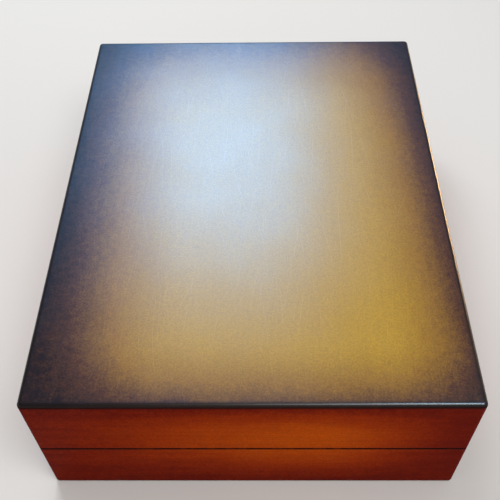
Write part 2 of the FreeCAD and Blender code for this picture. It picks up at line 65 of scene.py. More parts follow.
Pair = tuple[float, float]
Triple = tuple[float, float, float]
Colour = tuple[float, float, float, float]
Socket = bpy.types.NodeSocket
Sockets = bpy.types.bpy_prop_collection
Node = bpy.types.Node
Tree = bpy.types.NodeTree
Material = bpy.types.Material
Piece = bpy.types.Object
Value = Socket | float | tuple

CASE_PARTS = ("base", "lid")
ACROSS = ("front", "back")
ALONG = ("left", "right")
LACQUERED = ("lid_top_panel",) + tuple(
    f"{part}_{side}_rail" for part in CASE_PARTS for side in ACROSS + ALONG)
UP = Vector((0.0, 0.0, 1.0))
EVEN: Triple = (1.0, 1.0, 1.0)
UNTURNED: Triple = (0.0, 0.0, 0.0)
# Nearly all values of a noise lie between these two.
NOISE_SPAN: Pair = (0.3, 0.7)


def paint(red: int, green: int, blue: int) -> Colour:
    """Turn a colour as it is seen on a screen into the linear one that shaders take.

    Args:
        red: Red from 0 to 255.
        green: Green from 0 to 255.
        blue: Blue from 0 to 255.

    Returns:
        The linear colour, with full opacity.
    """
    def linear(part: int) -> float:
        """Undo the screen's curve for one part."""
        share = part / 255
        return share / 12.92 if share <= 0.04045 else ((share + 0.055) / 1.055) ** 2.4

    return (linear(red), linear(green), linear(blue), 1.0)


class Grain(Enum):
    """Which way the wood's fibres run, as the turn that lays them along the pattern's X axis."""

    WIDTH = UNTURNED
    DEPTH = (0.0, 0.0, math.radians(90))


class Reach(Enum):
    """What a light acts on, as whether it lights surfaces and whether it shows in their gloss."""

    BOTH = (True, True)
    SURFACES = (True, False)
    GLOSS = (False, True)


class Graph:
    """A node tree with short calls for adding and joining nodes."""

    def __init__(self, tree: Tree) -> None:
        """Start from an empty tree."""
        self.tree = tree
        tree.nodes.clear()

    def feed(self, socket: Socket, value: Value) -> None:
        """Link a socket to another one, or give it a constant.

        Args:
            socket: The input.
            value: What goes into it.
        """
        if isinstance(value, Socket):
            self.tree.links.new(value, socket)
        else:
            socket.default_value = value

    def add(self, kind: str, sockets: dict[str | int, Value] | None = None, **settings: object) -> Node:
        """Add a node.

        Args:
            kind: The node's type name.
            sockets: What goes into its inputs, by name or number.
            **settings: The node's own properties.

        Returns:
            The new node.
        """
        node = self.tree.nodes.new(kind)
        for name, setting in settings.items():
            setattr(node, name, setting)
        for key, value in (sockets or {}).items():
            self.feed(node.inputs[key], value)
        return node

    def maths(self, operation: str, first: Value, second: Value = 0.0, clamp: bool = False) -> Socket:
        """Work out one sum with a Math node, kept between 0 and 1 if it is clamped."""
        settings = {"operation": operation, "use_clamp": clamp}
        return self.add("ShaderNodeMath", {0: first, 1: second}, **settings).outputs[0]

    def plus(self, first: Value, second: Value) -> Socket:
        """Add two numbers."""
        return self.maths("ADD", first, second)

    def minus(self, first: Value, second: Value) -> Socket:
        """Take the second number from the first."""
        return self.maths("SUBTRACT", first, second)

    def times(self, first: Value, second: Value) -> Socket:
        """Multiply two numbers."""
        return self.maths("MULTIPLY", first, second)

    def swing(self, value: Value, amount: Value) -> Socket:
        """Spread a value that runs from 0 to 1 evenly about 0, over an amount."""
        return self.times(self.minus(value, 0.5), amount)

    def largest(self, values: list[Socket]) -> Socket:
        """Pick the largest of several numbers.

        Args:
            values: The numbers.

        Returns:
            The result's socket.
        """
        most = values[0]
        for value in values[1:]:
            most = self.maths("MAXIMUM", most, value)
        return most

    def vector(self, operation: str, first: Value, second: Value) -> Socket:
        """Work out one sum on each axis with a Vector Math node."""
        return self.add("ShaderNodeVectorMath", {0: first, 1: second}, operation=operation).outputs[0]

    def axes(self, where: Value) -> Sockets:
        """The X, Y and Z parts of a vector."""
        return self.add("ShaderNodeSeparateXYZ", {0: where}).outputs

    def step(self, value: Value, start: Value, end: Value, low: Value = 0.0, high: Value = 1.0) -> Socket:
        """Rise smoothly from low to high while a value goes from start to end."""
        sockets = {"Value": value, "From Min": start, "From Max": end, "To Min": low, "To Max": high}
        return self.add("ShaderNodeMapRange", sockets, interpolation_type="SMOOTHSTEP").outputs["Result"]

    def mix(self, share: Value, first: Value, second: Value, blend: str = "MIX") -> Socket:
        """Mix two colours, with share as how much of the second one shows."""
        sockets = {0: share, 6: first, 7: second}
        return self.add("ShaderNodeMix", sockets, data_type="RGBA", blend_type=blend).outputs[2]

    def noise(self, where: Value, scale: float, detail: float = 2.0, roughness: float = 0.5) -> Socket:
        """A soft random value from 0 to 1, with scale in cells per metre and finer layers by detail."""
        sockets = {"Vector": where, "Scale": scale, "Detail": detail, "Roughness": roughness}
        return self.add("ShaderNodeTexNoise", sockets).outputs[0]

    def place(self) -> Socket:
        """The piece's own coordinates, in metres."""
        return self.add("ShaderNodeTexCoord").outputs["Object"]

    def stretched(self, where: Value, scale: Triple = EVEN, turn: Triple = UNTURNED) -> Socket:
        """Turn coordinates about each axis and then stretch them along it."""
        turned = self.add("ShaderNodeMapping", {"Vector": where, "Rotation": turn}).outputs[0]
        return self.add("ShaderNodeMapping", {"Vector": turned, "Scale": scale}).outputs[0]


@dataclass(frozen=True)
class Scratches:
    """Scratches in one direction: their turn in radians and their cells per metre along each axis."""

    turn: float
    cells: Triple


@dataclass(frozen=True)
class Wipe:
    """Hairlines in one direction: their turn in radians, their lanes per metre and their bend in metres."""

    turn: float
    lanes: float
    bend: float


class Effects:
    """The shader node groups that the finishes share.

    Outer skin and top skin are how deep, in metres, the lacquered outside gives way to the stained inside,
    under the sides and under the top. Arris is how far from the top's edge its dark line ends and is full.
    """

    outer_skin: Pair = (0.0009, 0.0016)
    top_skin: Pair = (0.0055, 0.0065)
    arris: Pair = (0.0036, 0.0012)
    scratches: tuple[Scratches, ...] = (
        Scratches(0.25, (9.0, 160.0, 60.0)),
        Scratches(-0.5, (140.0, 11.0, 60.0)),
        Scratches(1.1, (10.0, 190.0, 60.0)))
    wipes: tuple[Wipe, ...] = (Wipe(0.08, 230.0, 0.018), Wipe(-0.16, 170.0, 0.026), Wipe(0.30, 110.0, 0.040))

    def __init__(self, low: Vector, high: Vector) -> None:
        """Build every group once.

        Args:
            low: The lowest corner of the case.
            high: The highest corner of the case.
        """
        self.low = low
        self.high = high
        self.edge_shade = self._edge_shade()
        self.wood_grain = self._wood_grain()
        self.handling = self._handling()
        self.hairlines = self._hairlines()
        self.nap = self._nap()

    @staticmethod
    def _group(
        name: str, outputs: tuple[str, ...], vectors: tuple[str, ...] = ("Place",), **numbers: float
    ) -> tuple[Tree, Graph, Sockets, Sockets]:
        """Start a group.

        Args:
            name: The group's name.
            outputs: Its number outputs.
            vectors: Its vector inputs.
            **numbers: Its number inputs and their usual values.

        Returns:
            The group, its graph, its inputs and its outputs.
        """
        tree = bpy.data.node_groups.new(name, "ShaderNodeTree")
        for label in vectors:
            tree.interface.new_socket(name=label, in_out="INPUT", socket_type="NodeSocketVector")
        for label, value in numbers.items():
            socket = tree.interface.new_socket(name=label, in_out="INPUT", socket_type="NodeSocketFloat")
            socket.default_value = value
        for label in outputs:
            tree.interface.new_socket(name=label, in_out="OUTPUT", socket_type="NodeSocketFloat")
        graph = Graph(tree)
        return tree, graph, graph.add("NodeGroupInput").outputs, graph.add("NodeGroupOutput").inputs

    def _edge_shade(self) -> Tree:
        """Sprayed shading of the case: 0 along its edges and 1 in the middle of each face.

        Its inputs are what Fades holds. Inside is 1 where the wood isn't lacquered, and Edge along the top's
        arris.

        Returns:
            The group.
        """
        fades = ("Low fade", "High fade", "Low start", "High start")
        outputs = ("Shade", "Inside", "Edge")
        tree, graph, given, result = self._group("edge_shade", outputs, fades, Unevenness=0.3, Slant=0.0)
        low, high = tuple(self.low), tuple(self.high)
        place = graph.place()
        shift = graph.times(graph.axes(place)[1], given["Slant"])
        aslant = graph.vector("ADD", place, graph.add("ShaderNodeCombineXYZ", {0: shift}).outputs[0])
        into_low = graph.vector("ADD", graph.vector("SUBTRACT", aslant, low), given["Low start"])
        into_high = graph.vector("ADD", graph.vector("SUBTRACT", high, aslant), given["High start"])
        after_low = graph.vector("DIVIDE", into_low, given["Low fade"])
        after_high = graph.vector("DIVIDE", into_high, given["High fade"])
        cloud = graph.noise(place, scale=22.0, detail=3.0, roughness=0.55)
        sway = graph.plus(graph.swing(cloud, given["Unevenness"]), 1.0)
        reach = graph.axes(graph.vector("MINIMUM", after_low, after_high))
        width, depth, rise = (graph.step(graph.times(part, sway), 0.0, 1.0) for part in reach)
        flat_and_front = graph.plus(graph.times(width, depth), graph.times(width, rise))
        graph.feed(result["Shade"], graph.maths("ADD", flat_and_front, graph.times(depth, rise), clamp=True))
        from_low = graph.vector("SUBTRACT", place, low)
        from_high = graph.vector("SUBTRACT", high, place)
        walls = graph.axes(graph.vector("MINIMUM", from_low, from_high))
        from_side = graph.maths("MINIMUM", walls[0], walls[1])
        from_top = graph.axes(from_high)[2]
        inside = graph.times(graph.step(from_side, *self.outer_skin), graph.step(from_top, *self.top_skin))
        graph.feed(result["Inside"], inside)
        graph.feed(result["Edge"], graph.step(graph.largest([from_side, from_top]), *self.arris))
        return tree

    def _wood_grain(self) -> Tree:
        """Wood fibres along X: broad figure, fine streaks and short pores.

        Returns:
            The group.
        """
        tree, graph, given, result = self._group("wood_grain", ("Figure", "Streaks", "Pores"))

        def fibres(along: float, across: float, detail: float, roughness: float = 0.5) -> Socket:
            """Noise drawn out along the fibres, with its cells per metre along and across them."""
            cells = graph.stretched(given["Place"], (along, across, across))
            return graph.noise(cells, 1.0, detail, roughness)

        bent = graph.plus(fibres(5.0, 26.0, detail=2.0), fibres(6.0, 70.0, detail=4.0, roughness=0.6))
        rings = 26.0
        figure = graph.maths("SINE", graph.times(bent, rings))
        graph.feed(result["Figure"], graph.step(figure, -1.0, 1.0))
        graph.feed(result["Streaks"], fibres(22.0, 900.0, detail=3.0, roughness=0.6))
        graph.feed(result["Pores"], graph.step(fibres(160.0, 2600.0, detail=1.0), 0.62, 0.72))
        return tree

    def _handling(self) -> Tree:
        """What use leaves on a finish: fine scratches and soft smudges.

        Returns:
            The group.
        """
        tree, graph, given, result = self._group("handling", ("Scratches", "Smudges"), Scale=1.0)
        sockets = {0: given["Place"], "Scale": given["Scale"]}
        place = graph.add("ShaderNodeVectorMath", sockets, operation="SCALE").outputs[0]
        lines = []
        for scratches in self.scratches:
            cells = graph.stretched(place, scratches.cells, (0.0, 0.0, scratches.turn))
            sockets = {"Vector": cells, "Scale": 1.0}
            edges = graph.add("ShaderNodeTexVoronoi", sockets, feature="DISTANCE_TO_EDGE")
            lines.append(graph.step(edges.outputs["Distance"], 0.012, 0.002))
        broken = graph.step(graph.noise(place, scale=60.0), 0.54, 0.64)
        graph.feed(result["Scratches"], graph.times(graph.largest(lines), broken))
        graph.feed(result["Smudges"], graph.noise(place, scale=35.0, detail=4.0, roughness=0.6))
        return tree

    def _hairlines(self) -> Tree:
        """Long, slightly curved hairlines that wiping leaves in a clear coat, most of them along Y.

        Each direction is cut into lanes, with one line at a chance place in each, broken along its length.

        Returns:
            The group.
        """
        tree, graph, given, result = self._group("hairlines", ("Lines",), Width=0.00019)
        lines = []
        for wipe in self.wipes:
            turned = graph.stretched(given["Place"], turn=(0.0, 0.0, wipe.turn))
            x, y, _ = graph.axes(turned)
            bend = graph.swing(graph.noise(turned, scale=9.0, detail=1.0), wipe.bend)
            across = graph.times(graph.plus(x, bend), wipe.lanes)
            lane = graph.maths("FLOOR", across)
            seed = {"W": graph.plus(lane, wipe.lanes)}
            chance = graph.add("ShaderNodeTexWhiteNoise", seed, noise_dimensions="1D").outputs["Value"]
            middle = graph.step(chance, 0.0, 1.0, low=0.15, high=0.85)
            aside = graph.maths("ABSOLUTE", graph.minus(graph.minus(across, lane), middle))
            line = graph.step(graph.maths("DIVIDE", aside, wipe.lanes), given["Width"], 0.0)
            sockets = {0: graph.times(lane, 3.7), 1: y, 2: wipe.lanes}
            own_strip = graph.add("ShaderNodeCombineXYZ", sockets).outputs[0]
            breaks = graph.noise(graph.stretched(own_strip, (1.0, 16.0, 1.0)), scale=1.0)
            lines.append(graph.times(line, graph.step(breaks, 0.48, 0.68)))
        graph.feed(result["Lines"], graph.largest(lines))
        return tree

    def _nap(self) -> Tree:
        """Short fibres of pressed felt, with paler and darker patches where the nap lies differently.

        Returns:
            The group.
        """
        tree, graph, given, result = self._group("nap", ("Tone", "Height"), Fibres=2600.0)
        place = given["Place"]
        sockets = {"Vector": place, "Scale": given["Fibres"]}
        sockets |= {"Detail": 3.0, "Roughness": 0.7, "Distortion": 1.6}
        swirl = graph.add("ShaderNodeTexNoise", sockets).outputs[0]
        patches = graph.noise(place, scale=55.0, detail=4.0, roughness=0.6)
        lint = graph.step(graph.noise(place, scale=900.0), 0.66, 0.76)
        tone = graph.plus(graph.times(swirl, 0.55), graph.times(patches, 0.45))
        graph.feed(result["Tone"], graph.maths("ADD", tone, graph.times(lint, 0.12), clamp=True))
        graph.feed(result["Height"], graph.plus(swirl, graph.times(patches, 0.6)))
        return tree


class Finish:
    """A material under construction, with its graph and its Principled shader."""

    def __init__(self, name: str, **constants: Value) -> None:
        """Start a material.

        Args:
            name: The material's name.
            **constants: Numbers and colours of the shader that are the same all over, with _ for blanks.
        """
        self.material = bpy.data.materials.new(name)
        self.material.use_nodes = True
        self.graph = Graph(self.material.node_tree)
        self.shader = self.graph.add("ShaderNodeBsdfPrincipled")
        end = self.graph.add("ShaderNodeOutputMaterial")
        self.graph.feed(end.inputs["Surface"], self.shader.outputs[0])
        for label, value in constants.items():
            self.shader.inputs[label.replace("_", " ")].default_value = value

    def group(self, tree: Tree, **sockets: Value) -> Sockets:
        """Place a group.

        Args:
            tree: The group.
            **sockets: What goes into its inputs, in small letters and with _ for blanks.

        Returns:
            Its outputs.
        """
        node = self.graph.add("ShaderNodeGroup", node_tree=tree)
        for label, value in sockets.items():
            self.graph.feed(node.inputs[label.replace("_", " ").capitalize()], value)
        return node.outputs

    def surface(self, colour: Value, roughness: Value, height: Value, relief: float, depth: float) -> None:
        """Join the varying values to the shader.

        Args:
            colour: The base colour.
            roughness: The roughness.
            height: The height map.
            relief: How much of the height map shows, from 0 to 1.
            depth: The height map's depth, in metres.
        """
        bump = self.graph.add("ShaderNodeBump", {"Height": height, "Strength": relief, "Distance": depth})
        self.graph.feed(self.shader.inputs["Base Color"], colour)
        self.graph.feed(self.shader.inputs["Roughness"], roughness)
        self.graph.feed(self.shader.inputs["Normal"], bump.outputs[0])


@dataclass(frozen=True)
class Fades:
    """How the sprayed shading runs in from the case's sides, in metres along each axis.

    A fade is the shading's width beside the lower or the upper side, and a start is how far it has come
    where that side begins. Unevenness sways the widths, and slant skews the shading of the top.
    """

    low_fade: Triple
    high_fade: Triple
    low_start: Triple
    high_start: Triple
    unevenness: float
    slant: float = 0.0


@dataclass(frozen=True)
class Strength:
    """How strong an effect is on the sides and on the top."""

    sides: float
    top: float

    def socket(self, graph: Graph, on_top: Value) -> Socket:
        """The strength at a place, by how far that belongs to the top."""
        return graph.step(on_top, 0.0, 1.0, self.sides, self.top)


@dataclass(frozen=True)
class ShadedLacquer:
    """Clear lacquer over stained wood, sprayed dark towards every edge.

    The top is golden amber and the sides are a redder orange brown, the extra red of the sides being painted
    red bounce light. Their colours go from the edges to the middle of a face. Top edge, polish edge and the
    seam's band are the distances, in metres, from the top and from the seam at which the top's colour, its
    polish and the painted shade in the seam's groove begin and are full.
    """

    effects: Effects
    seam: float
    top: tuple[Colour, ...] = (
        paint(32, 16, 13), paint(80, 46, 24), paint(140, 100, 22), paint(175, 137, 18))
    # The sides' colours are redder than the top's; that extra red is painted red bounce light.
    sides: tuple[Colour, ...] = (
        paint(106, 19, 5), paint(128, 32, 4), paint(160, 53, 4), paint(190, 78, 4))
    colour_places: tuple[float, ...] = (0.0, 0.18, 0.5, 1.0)
    # Also the colour of the painted shade in the seam's groove.
    edge_black: Colour = paint(22, 13, 13)
    inner_stain: Colour = paint(52, 24, 14)
    # Paler colour along the top's hairlines: partly the whitening of scratched lacquer, partly painted
    # glint.
    haze: Colour = paint(238, 204, 132)
    top_fades: Fades = Fades(
        low_fade=(0.088, 0.053, 0.034), high_fade=(0.065, 0.124, 0.034),
        low_start=(0.007, 0.015, 0.0), high_start=(0.011, 0.040, 0.0), unevenness=0.25, slant=0.036)
    side_fades: Fades = Fades(
        low_fade=(0.184, 0.080, 0.060), high_fade=(0.076, 0.080, 0.036),
        low_start=(0.032, 0.0, 0.005), high_start=(0.0, 0.0, 0.005), unevenness=0.3)
    top_edge: Pair = (0.0019, 0.0006)
    polish_edge: Pair = (0.0014, 0.0004)
    # Where the painted shade in the seam's groove begins and is full, by distance from the seam.
    seam_line: Pair = (0.0013, 0.0006)
    figure: Strength = Strength(0.06, 0.02)
    streaks: Strength = Strength(0.07, 0.02)
    pores: Strength = Strength(0.10, 0.03)
    spray: float = 0.32
    blotches: float = 0.22
    speckle: Pair = (0.88, 1.12)
    # How much of the pale hairline colour, partly whitened lacquer and partly painted glint, shows.
    wiped_haze: float = 0.15
    edge_dark: float = 0.9
    # How strong the painted shade in the seam's groove is, patchy along the seam.
    seam_dark: Pair = (0.78, 0.95)
    clear: Pair = (0.69, 0.80)
    clear_sides: float = 0.07
    scratch_shine: float = 0.13
    wiped_shine: float = 0.12

    def build(self, name: str, grain: Grain) -> Material:
        """Make the lacquer for boards whose fibres run one way.

        Args:
            name: The material's name.
            grain: The fibres' direction.

        Returns:
            The material.
        """
        finish = Finish(name, Specular_IOR_Level=0.0, Coat_IOR=1.5, Coat_Roughness=0.304)
        graph = finish.graph
        place = graph.place()
        height = graph.axes(place)[2]
        wood = finish.group(self.effects.wood_grain, place=graph.stretched(place, turn=grain.value))
        use = finish.group(self.effects.handling, place=place)
        wiped = finish.group(self.effects.hairlines, place=place)["Lines"]
        shading = finish.group(self.effects.edge_shade, **asdict(self.top_fades))
        on_top = self._near_top(graph, height, self.top_edge)
        colour = self._stain(finish, wood, shading["Shade"], on_top)
        # Paler hairlines on the top's gold, partly whitened lacquer and partly painted glint of the
        # highlight, kept out of the dark border.
        hairline_white_and_glint_where = graph.times(graph.times(wiped, on_top), shading["Shade"])
        colour = graph.mix(graph.times(hairline_white_and_glint_where, self.wiped_haze), colour, self.haze)
        colour = self._edges(graph, wood, shading, height, colour)
        self._polish(finish, use, wiped, height)
        gloss = graph.step(use["Smudges"], 0.3, 0.75, low=0.36, high=0.44)
        gloss = graph.plus(gloss, graph.times(use["Scratches"], 0.1))
        gloss = graph.plus(gloss, graph.times(shading["Inside"], 0.12))
        peel = graph.plus(graph.noise(place, scale=420.0), graph.times(wood["Streaks"], 0.35))
        finish.surface(colour, gloss, peel, relief=0.10, depth=0.0004)
        return finish.material

    def _near_top(self, graph: Graph, height: Socket, depths: Pair) -> Socket:
        """Rise from 0 to 1 between two depths below the top."""
        return graph.step(height, *(self.effects.high.z - depth for depth in depths))

    def _stain(self, finish: Finish, wood: Sockets, top_shade: Socket, on_top: Socket) -> Socket:
        """Stain the wood: shading, mottle, streaks and pores.

        Args:
            finish: The material.
            wood: The outputs of the wood's grain.
            top_shade: The shading of the top.
            on_top: Where the top's colour shows.

        Returns:
            The colour.
        """
        graph = finish.graph
        place = graph.place()
        speckle = graph.noise(place, scale=1100.0, detail=2.0, roughness=0.8)
        blotches = graph.noise(place, scale=260.0, detail=3.0, roughness=0.6)
        mottle = graph.swing(wood["Figure"], self.figure.socket(graph, on_top))
        mottle = graph.plus(mottle, graph.swing(speckle, self.spray))
        mottle = graph.plus(mottle, graph.swing(blotches, self.blotches))
        side_shade = finish.group(self.effects.edge_shade, **asdict(self.side_fades))["Shade"]
        top = self._ramp(graph, graph.plus(top_shade, mottle), self.top)
        sides = self._ramp(graph, graph.plus(side_shade, mottle), self.sides)
        colour = graph.mix(on_top, sides, top)
        streaks = graph.step(wood["Streaks"], *NOISE_SPAN, low=-1.0, high=1.0)
        streaks = graph.plus(graph.times(streaks, self.streaks.socket(graph, on_top)), 1.0)
        grey = graph.times(streaks, graph.step(speckle, *NOISE_SPAN, *self.speckle))
        tint = graph.add("ShaderNodeCombineColor", {0: grey, 1: grey, 2: grey}).outputs[0]
        colour = graph.mix(1.0, colour, tint, "MULTIPLY")
        pores = graph.times(wood["Pores"], self.pores.socket(graph, on_top))
        return graph.mix(pores, colour, self.edge_black)

    def _ramp(self, graph: Graph, value: Value, colours: tuple[Colour, ...]) -> Socket:
        """Run through colours from the edge to the middle of a face.

        Args:
            graph: The material's graph.
            value: The shading, from 0 to 1.
            colours: The colours.

        Returns:
            The colour.
        """
        node = graph.add("ShaderNodeValToRGB", {0: value})
        elements = node.color_ramp.elements
        while len(elements) < len(colours):
            elements.new(1.0)
        for element, position, colour in zip(elements, self.colour_places, colours):
            element.position = position
            element.color = colour
        return node.outputs[0]

    def _edges(
        self, graph: Graph, wood: Sockets, shading: Sockets, height: Socket, colour: Socket
    ) -> Socket:
        """Darken the top's arris, paint shade into the seam's groove, and stain the inside.

        Args:
            graph: The material's graph.
            wood: The outputs of the wood's grain.
            shading: The outputs of the top's shading.
            height: The height above the ground.
            colour: The colour so far.

        Returns:
            The colour.
        """
        colour = graph.mix(graph.times(shading["Edge"], self.edge_dark), colour, self.edge_black)
        # Painted shade in the groove between lid and base, patchy along the seam.
        from_seam = graph.maths("ABSOLUTE", graph.minus(height, self.seam))
        seam_shade_strength = graph.step(graph.noise(graph.place(), scale=190.0), 0.34, 0.5, *self.seam_dark)
        line = graph.times(graph.step(from_seam, *self.seam_line), seam_shade_strength)
        colour = graph.mix(line, colour, self.edge_black)
        inner = graph.mix(graph.times(wood["Figure"], 0.5), self.inner_stain, self.edge_black)
        return graph.mix(shading["Inside"], colour, inner)

    def _polish(self, finish: Finish, use: Sockets, wiped: Socket, height: Socket) -> None:
        """Lay the clear coat: full on the top, with smudges, scratches and hairlines, and thin on the sides.

        Args:
            finish: The material.
            use: The outputs of the marks of use.
            wiped: The hairlines.
            height: The height above the ground.
        """
        graph = finish.graph
        clear = graph.step(use["Smudges"], *NOISE_SPAN, *self.clear)
        clear = graph.plus(clear, graph.times(use["Scratches"], self.scratch_shine))
        clear = graph.plus(clear, graph.times(wiped, self.wiped_shine))
        clear = graph.times(self._near_top(graph, height, self.polish_edge), clear)
        graph.feed(finish.shader.inputs["Coat Weight"], graph.plus(clear, self.clear_sides))


@dataclass(frozen=True)
class OiledWood:
    """Bare wood under oil or stain, with its grain open to the touch."""

    effects: Effects
    pale: Colour
    dark: Colour
    roughness: float = 0.45
    figure: float = 0.62
    pores: float = 0.55
    pore_shade: float = 0.35
    smudges: Pair = (-0.06, 0.08)

    def build(self, name: str, grain: Grain) -> Material:
        """Make the wood for boards whose fibres run one way.

        Args:
            name: The material's name.
            grain: The fibres' direction.

        Returns:
            The material.
        """
        finish = Finish(name, Specular_IOR_Level=0.4)
        graph = finish.graph
        place = graph.place()
        wood = finish.group(self.effects.wood_grain, place=graph.stretched(place, turn=grain.value))
        use = finish.group(self.effects.handling, place=place)
        figure = graph.times(wood["Figure"], self.figure)
        figure = graph.plus(figure, graph.times(wood["Streaks"], 1.0 - self.figure))
        colour = graph.mix(figure, self.pale, self.dark)
        pore = tuple(self.pore_shade * part for part in self.dark[:3]) + (1.0,)
        colour = graph.mix(graph.times(wood["Pores"], self.pores), colour, pore)
        shiny, dull = (self.roughness + change for change in self.smudges)
        gloss = graph.step(use["Smudges"], *NOISE_SPAN, shiny, dull)
        height = graph.minus(graph.times(wood["Streaks"], 0.4), wood["Pores"])
        finish.surface(colour, gloss, height, relief=0.25, depth=0.00025)
        return finish.material


@dataclass(frozen=True)
class Felt:
    """Pressed wool felt with a short nap."""

    effects: Effects
    deep: Colour = paint(14, 48, 31)
    pale: Colour = paint(48, 104, 68)
    sheen: Colour = paint(120, 190, 140)

    def build(self, name: str) -> Material:
        """Make the felt.

        Args:
            name: The material's name.

        Returns:
            The material.
        """
        finish = Finish(
            name, Specular_IOR_Level=0.15, Sheen_Weight=0.35, Sheen_Roughness=0.5, Sheen_Tint=self.sheen)
        graph = finish.graph
        nap = finish.group(self.effects.nap, place=graph.place())
        colour = graph.mix(graph.step(nap["Tone"], 0.25, 0.8), self.deep, self.pale)
        gloss = graph.step(nap["Tone"], 0.2, 0.8, low=0.85, high=0.97)
        finish.surface(colour, gloss, nap["Height"], relief=0.6, depth=0.0005)
        return finish.material


@dataclass(frozen=True)
class Brass:
    """Polished brass that has dulled a little and carries fine scratches."""

    effects: Effects
    bright: Colour = paint(226, 186, 108)
    dull: Colour = paint(150, 108, 52)
    scratch_scale: float = 5.0

    def build(self, name: str) -> Material:
        """Make the brass.

        Args:
            name: The material's name.

        Returns:
            The material.
        """
        finish = Finish(name, Metallic=1.0)
        graph = finish.graph
        place = graph.place()
        use = finish.group(self.effects.handling, place=place, scale=self.scratch_scale)
        drawn = graph.noise(graph.stretched(place, (60.0, 4200.0, 4200.0)), scale=1.0)
        tarnish = graph.step(graph.noise(place, scale=110.0, detail=3.0, roughness=0.55), 0.40, 0.75)
        colour = graph.mix(graph.times(tarnish, 0.35), self.bright, self.dull)
        gloss = graph.step(use["Smudges"], *NOISE_SPAN, low=0.20, high=0.34)
        gloss = graph.plus(gloss, graph.times(tarnish, 0.14))
        height = graph.minus(drawn, graph.times(use["Scratches"], 0.8))
        finish.surface(colour, gloss, height, relief=0.05, depth=0.00005)
        return finish.material


def deselect() -> None:
    """Leave edit mode and select nothing."""
    if bpy.context.object and bpy.context.object.mode != "OBJECT":
        bpy.ops.object.mode_set(mode="OBJECT")
    bpy.ops.object.select_all(action="DESELECT")


def settle(name: str) -> Piece:
    """Name the active object and move its place into its mesh.

    Args:
        name: The piece's name.

    Returns:
        The object.
    """
    piece = bpy.context.object
    piece.name = name
    piece.data.name = name
    bpy.ops.object.transform_apply(location=True, rotation=True, scale=True)
    return piece


def apply_modifier(piece: Piece, kind: str, **settings: object) -> None:
    """Add a modifier and apply it.

    Args:
        piece: The piece that it shapes.
        kind: The modifier's type.
        **settings: Its properties.
    """
    bpy.context.view_layer.objects.active = piece
    modifier = piece.modifiers.new(kind.lower(), kind)
    for label, value in settings.items():
        setattr(modifier, label, value)
    bpy.ops.object.modifier_apply(modifier=modifier.name)


def select_faces(piece: Piece, direction: Vector, least: float = 0.9) -> None:
    """Go into edit mode with only the faces selected that look in a direction.

    Args:
        piece: The piece.
        direction: The direction.
        least: How closely a face has to look that way, up to 1.
    """
    bpy.context.view_layer.objects.active = piece
    bpy.ops.object.mode_set(mode="EDIT")
    bpy.ops.mesh.select_mode(type="FACE")
    bpy.ops.mesh.select_all(action="DESELECT")
    bpy.ops.object.mode_set(mode="OBJECT")
    for face in piece.data.polygons:
        face.select = face.normal.dot(direction) > least
    bpy.ops.object.mode_set(mode="EDIT")


def dress(node: str, material: Material) -> None:
    """Give a solid of the frame its finish.

    Args:
        node: The solid's name.
        material: The finish.
    """
    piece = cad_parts[node]
    piece.data.materials.clear()
    piece.data.materials.append(material)
    log.info("dressed %s in %s", node, material.name)


def put_in(piece: Piece, body: str, material: Material, node: str) -> None:
    """Put a new piece in the place of a solid of the frame.

    Args:
        piece: The new piece.
        body: The body that it rides on.
        material: Its finish.
        node: The solid that it stands for.
    """
    piece.data.materials.clear()
    piece.data.materials.append(material)
    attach(piece, body)
    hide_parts(node)
    log.info("made %s for %s", piece.name, node)


@dataclass
class Case:
    """The lacquered case: mitred rails, the top panel and the plain board underneath."""

    effects: Effects
    board_pale: Colour = paint(176, 132, 86)
    board_dark: Colour = paint(122, 82, 48)
    board_roughness: float = 0.6

    def dress(self) -> None:
        """Finish the case's boards, each with its grain along the board."""
        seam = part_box("lid_front_rail")[0].z
        lacquer = ShadedLacquer(self.effects, seam)
        across = lacquer.build("lacquer_across", Grain.WIDTH)
        along = lacquer.build("lacquer_along", Grain.DEPTH)
        for part in CASE_PARTS:
            for side in ACROSS:
                dress(f"{part}_{side}_rail", across)
            for side in ALONG:
                dress(f"{part}_{side}_rail", along)
        dress("lid_top_panel", along)
        board = OiledWood(self.effects, self.board_pale, self.board_dark, self.board_roughness)
        dress("bottom_panel", board.build("plain_board", Grain.DEPTH))


@dataclass(frozen=True)
class PadRing:
    """One ring of the pad's lower face: how far it lies inside the last and its share of the pad's fall."""

    inset: float
    fall: float


